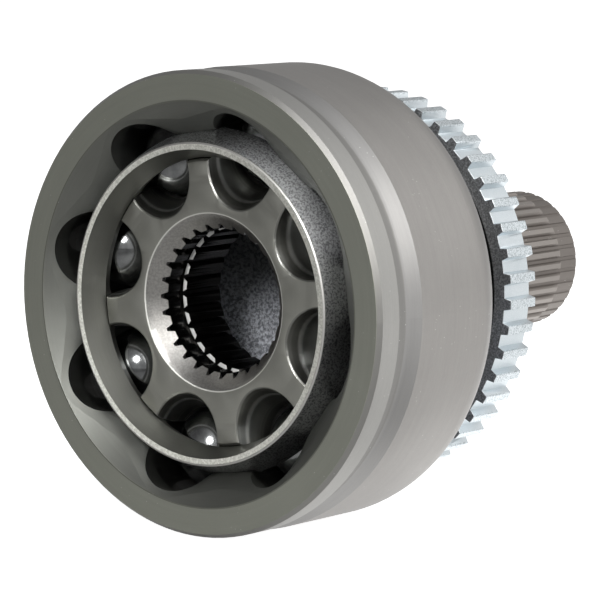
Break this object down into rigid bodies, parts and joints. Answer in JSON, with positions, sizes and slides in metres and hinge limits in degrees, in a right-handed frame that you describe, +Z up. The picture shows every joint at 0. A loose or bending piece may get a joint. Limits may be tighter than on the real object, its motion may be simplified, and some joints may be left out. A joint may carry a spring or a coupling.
{
  "type": "constant velocity joint",
  "caption": "Fixed constant velocity joint: a bell with a splined stem and a toothed speed ring holds caged steel balls round a splined inner race.",
  "frame": {"origin": "the joint centre, where the axes of the bell and of the inner race cross and about which the joint bends", "axes": "+Y along the joint axis towards the stem's end, the open mouth of the bell faces -Y, +Z up, +X to the right seen from the mouth"},
  "size_m": [0.09, 0.1095, 0.09],
  "materials": {
    "forged_steel": "turned, oiled satin grey",
    "zinc_steel": "zinc plated, fine grained",
    "cage_steel": "hardened, ground, blue grey",
    "race_steel": "hardened, turned, satin",
    "ball_steel": "polished bearing steel"
  },
  "bodies": {
    "housing": {"outer_race": "forged_steel", "abs_ring": "zinc_steel"},
    "inner_race": {"inner_race": "race_steel"},
    "cage": {"cage": "cage_steel"},
    "ball_1": {"ball_1": "ball_steel"},
    "ball_2": {"ball_2": "ball_steel"},
    "ball_3": {"ball_3": "ball_steel"},
    "ball_4": {"ball_4": "ball_steel"},
    "ball_5": {"ball_5": "ball_steel"},
    "ball_6": {"ball_6": "ball_steel"},
    "ball_7": {"ball_7": "ball_steel"},
    "ball_8": {"ball_8": "ball_steel"}
  },
  "joints": [
    {"name": "bend", "type": "hinge", "parent": "housing", "child": "inner_race", "pos_m": [0, 0, 0], "axis": [1, 0, 0], "range_deg": [-45, 45]},
    {"name": "cage_tilt", "type": "hinge", "parent": "housing", "child": "cage", "pos_m": [0, 0, 0], "axis": [1, 0, 0], "range_deg": [-22.5, 22.5]},
    {"name": "ball_1_run", "type": "hinge", "parent": "housing", "child": "ball_1", "pos_m": [0, -0.0033, 0], "axis": [-0.5045, 0, 0.8634], "range_deg": [-11.75, 11.75]},
    {"name": "ball_2_run", "type": "hinge", "parent": "housing", "child": "ball_2", "pos_m": [0, -0.0033, 0], "axis": [-0.9673, 0, 0.2538], "range_deg": [-21.84, 21.84]},
    {"name": "ball_3_run", "type": "hinge", "parent": "housing", "child": "ball_3", "pos_m": [0, -0.0033, 0], "axis": [-0.8634, 0, -0.5045], "range_deg": [-19.68, 19.68]},
    {"name": "ball_4_run", "type": "hinge", "parent": "housing", "child": "ball_4", "pos_m": [0, -0.0033, 0], "axis": [-0.2538, 0, -0.9673], "range_deg": [-5.95, 5.95]},
    {"name": "ball_5_run", "type": "hinge", "parent": "housing", "child": "ball_5", "pos_m": [0, -0.0033, 0], "axis": [0.5045, 0, -0.8634], "range_deg": [-11.75, 11.75]},
    {"name": "ball_6_run", "type": "hinge", "parent": "housing", "child": "ball_6", "pos_m": [0, -0.0033, 0], "axis": [0.9673, 0, -0.2538], "range_deg": [-21.84, 21.84]},
    {"name": "ball_7_run", "type": "hinge", "parent": "housing", "child": "ball_7", "pos_m": [0, -0.0033, 0], "axis": [0.8634, 0, 0.5045], "range_deg": [-19.68, 19.68]},
    {"name": "ball_8_run", "type": "hinge", "parent": "housing", "child": "ball_8", "pos_m": [0, -0.0033, 0], "axis": [0.2538, 0, 0.9673], "range_deg": [-5.95, 5.95]}
  ],
  "couplings": [
    {"joint": "cage_tilt", "follows": "bend", "ratio": 0.5},
    {"joint": "ball_1_run", "follows": "bend", "ratio": -0.26106},
    {"joint": "ball_2_run", "follows": "bend", "ratio": -0.4852},
    {"joint": "ball_3_run", "follows": "bend", "ratio": -0.4373},
    {"joint": "ball_4_run", "follows": "bend", "ratio": -0.13209},
    {"joint": "ball_5_run", "follows": "bend", "ratio": 0.26106},
    {"joint": "ball_6_run", "follows": "bend", "ratio": 0.4852},
    {"joint": "ball_7_run", "follows": "bend", "ratio": 0.4373},
    {"joint": "ball_8_run", "follows": "bend", "ratio": 0.13209}
  ]
}
